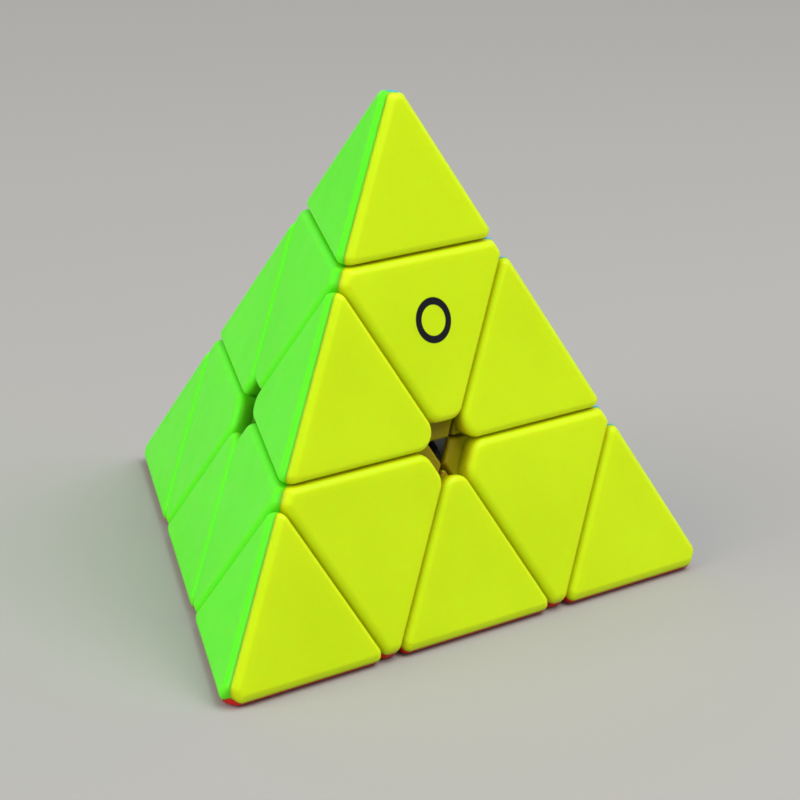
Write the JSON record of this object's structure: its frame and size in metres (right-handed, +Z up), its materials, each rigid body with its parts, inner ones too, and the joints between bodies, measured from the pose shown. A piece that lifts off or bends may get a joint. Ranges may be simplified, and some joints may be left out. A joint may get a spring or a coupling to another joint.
{
  "type": "pyramid twisty puzzle",
  "caption": "Four-sided pyramid puzzle whose corner layers and small tips turn about a hidden core, with coloured shells on grey inner parts.",
  "frame": {"origin": "middle of the core, where the four turning axes meet", "axes": "+Z up through the top corner, the red face level below; +X along the lower front edge, from the left corner to the right one; +Y towards the back corner"},
  "size_m": [0.0922, 0.0804, 0.0753],
  "materials": {
    "yellow_shell": "satin moulded plastic, fluorescent lime yellow",
    "green_shell": "satin moulded plastic, bright green",
    "blue_shell": "satin moulded plastic, bright blue",
    "red_shell": "satin moulded plastic, red",
    "grey_plastic": "light grey moulded plastic",
    "steel": "plated steel",
    "spring_steel": "spring wire"
  },
  "bodies": {
    "core": {"core": "grey_plastic", "axis_screws": "steel", "axis_springs": "spring_steel", "spring_washers": "steel"},
    "top_centre": {"top_hub": "grey_plastic", "top_centre_blue": "blue_shell", "top_centre_green": "green_shell", "top_centre_yellow": "yellow_shell"},
    "top_tip": {"top_tip_stem": "grey_plastic", "top_tip_blue": "blue_shell", "top_tip_green": "green_shell", "top_tip_yellow": "yellow_shell"},
    "left_centre": {"left_hub": "grey_plastic", "left_centre_red": "red_shell", "left_centre_yellow": "yellow_shell", "left_centre_green": "green_shell"},
    "left_tip": {"left_tip_stem": "grey_plastic", "left_tip_red": "red_shell", "left_tip_yellow": "yellow_shell", "left_tip_green": "green_shell"},
    "right_centre": {"right_hub": "grey_plastic", "right_centre_red": "red_shell", "right_centre_blue": "blue_shell", "right_centre_yellow": "yellow_shell"},
    "right_tip": {"right_tip_stem": "grey_plastic", "right_tip_red": "red_shell", "right_tip_blue": "blue_shell", "right_tip_yellow": "yellow_shell"},
    "back_centre": {"back_hub": "grey_plastic", "back_centre_red": "red_shell", "back_centre_green": "green_shell", "back_centre_blue": "blue_shell"},
    "back_tip": {"back_tip_stem": "grey_plastic", "back_tip_red": "red_shell", "back_tip_green": "green_shell", "back_tip_blue": "blue_shell"},
    "top_left_edge": {"top_left_edge_foot": "grey_plastic", "top_left_edge_yellow": "yellow_shell", "top_left_edge_green": "green_shell"},
    "top_right_edge": {"top_right_edge_foot": "grey_plastic", "top_right_edge_blue": "blue_shell", "top_right_edge_yellow": "yellow_shell"},
    "top_back_edge": {"top_back_edge_foot": "grey_plastic", "top_back_edge_green": "green_shell", "top_back_edge_blue": "blue_shell"},
    "left_right_edge": {"left_right_edge_foot": "grey_plastic", "left_right_edge_yellow": "yellow_shell", "left_right_edge_red": "red_shell"},
    "right_back_edge": {"right_back_edge_foot": "grey_plastic", "right_back_edge_blue": "blue_shell", "right_back_edge_red": "red_shell"},
    "left_back_edge": {"left_back_edge_foot": "grey_plastic", "left_back_edge_green": "green_shell", "left_back_edge_red": "red_shell"}
  },
  "joints": [
    {"name": "turn_top_layer", "type": "hinge", "parent": "core", "child": "top_centre", "pos_m": [0, 0, 0], "axis": [0, 0, 1], "range_deg": [-240, 120]},
    {"name": "turn_left_layer", "type": "hinge", "parent": "core", "child": "left_centre", "pos_m": [0, 0, 0], "axis": [-0.8165, -0.4714, -0.3333], "range_deg": [-240, 120]},
    {"name": "turn_right_layer", "type": "hinge", "parent": "core", "child": "right_centre", "pos_m": [0, 0, 0], "axis": [0.8165, -0.4714, -0.3333], "range_deg": [-240, 120]},
    {"name": "turn_back_layer", "type": "hinge", "parent": "core", "child": "back_centre", "pos_m": [0, 0, 0], "axis": [0, 0.9428, -0.3333], "range_deg": [-240, 120]},
    {"name": "turn_top_tip", "type": "hinge", "parent": "top_centre", "child": "top_tip", "pos_m": [0, 0, 0], "axis": [0, 0, 1], "continuous": true},
    {"name": "turn_left_tip", "type": "hinge", "parent": "left_centre", "child": "left_tip", "pos_m": [0, 0, 0], "axis": [-0.8165, -0.4714, -0.3333], "continuous": true},
    {"name": "turn_right_tip", "type": "hinge", "parent": "right_centre", "child": "right_tip", "pos_m": [0, 0, 0], "axis": [0.8165, -0.4714, -0.3333], "continuous": true},
    {"name": "turn_back_tip", "type": "hinge", "parent": "back_centre", "child": "back_tip", "pos_m": [0, 0, 0], "axis": [0, 0.9428, -0.3333], "continuous": true},
    {"name": "top_left_edge_with_top", "type": "hinge", "parent": "left_centre", "child": "top_left_edge", "pos_m": [0, 0, 0], "axis": [0, 0, 1], "range_deg": [-240, 120]},
    {"name": "top_right_edge_with_top", "type": "hinge", "parent": "right_centre", "child": "top_right_edge", "pos_m": [0, 0, 0], "axis": [0, 0, 1], "range_deg": [-240, 120]},
    {"name": "top_back_edge_with_top", "type": "hinge", "parent": "back_centre", "child": "top_back_edge", "pos_m": [0, 0, 0], "axis": [0, 0, 1], "range_deg": [-240, 120]},
    {"name": "left_right_edge_with_left", "type": "hinge", "parent": "right_centre", "child": "left_right_edge", "pos_m": [0, 0, 0], "axis": [-0.8165, -0.4714, -0.3333], "range_deg": [-240, 120]},
    {"name": "right_back_edge_with_right", "type": "hinge", "parent": "back_centre", "child": "right_back_edge", "pos_m": [0, 0, 0], "axis": [0.8165, -0.4714, -0.3333], "range_deg": [-240, 120]},
    {"name": "left_back_edge_with_back", "type": "hinge", "parent": "left_centre", "child": "left_back_edge", "pos_m": [0, 0, 0], "axis": [0, 0.9428, -0.3333], "range_deg": [-240, 120]}
  ],
  "couplings": [
    {"joint": "top_left_edge_with_top", "follows": "turn_top_layer", "ratio": 1},
    {"joint": "top_right_edge_with_top", "follows": "turn_top_layer", "ratio": 1},
    {"joint": "top_back_edge_with_top", "follows": "turn_top_layer", "ratio": 1},
    {"joint": "left_right_edge_with_left", "follows": "turn_left_layer", "ratio": 1},
    {"joint": "right_back_edge_with_right", "follows": "turn_right_layer", "ratio": 1},
    {"joint": "left_back_edge_with_back", "follows": "turn_back_layer", "ratio": 1}
  ]
}
